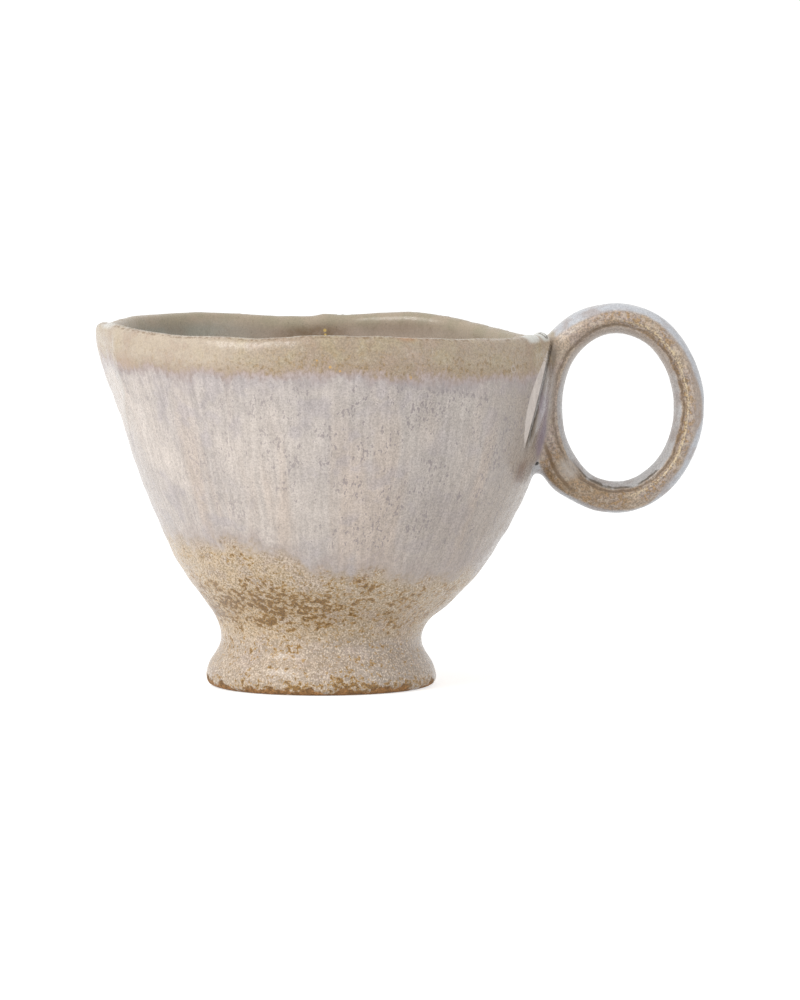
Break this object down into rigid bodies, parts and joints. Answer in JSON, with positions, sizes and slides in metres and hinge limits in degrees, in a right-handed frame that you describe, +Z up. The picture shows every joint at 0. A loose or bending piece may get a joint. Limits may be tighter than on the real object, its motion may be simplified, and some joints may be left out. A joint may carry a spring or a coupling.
{
  "type": "stoneware mug",
  "caption": "Wide thrown mug on a flanged foot with a soft uneven rim and an upright ring handle at the rim.",
  "frame": {"origin": "the middle of the foot on the plane that the mug stands on", "axes": "+Z up through the bowl, +X from the bowl's axis to the ring handle, +Y to the back of the mug"},
  "size_m": [0.1516, 0.1138, 0.0957],
  "materials": {
    "glaze": "gloss"
  },
  "bodies": {
    "root": {"mug": "glaze"}
  },
  "joints": []
}
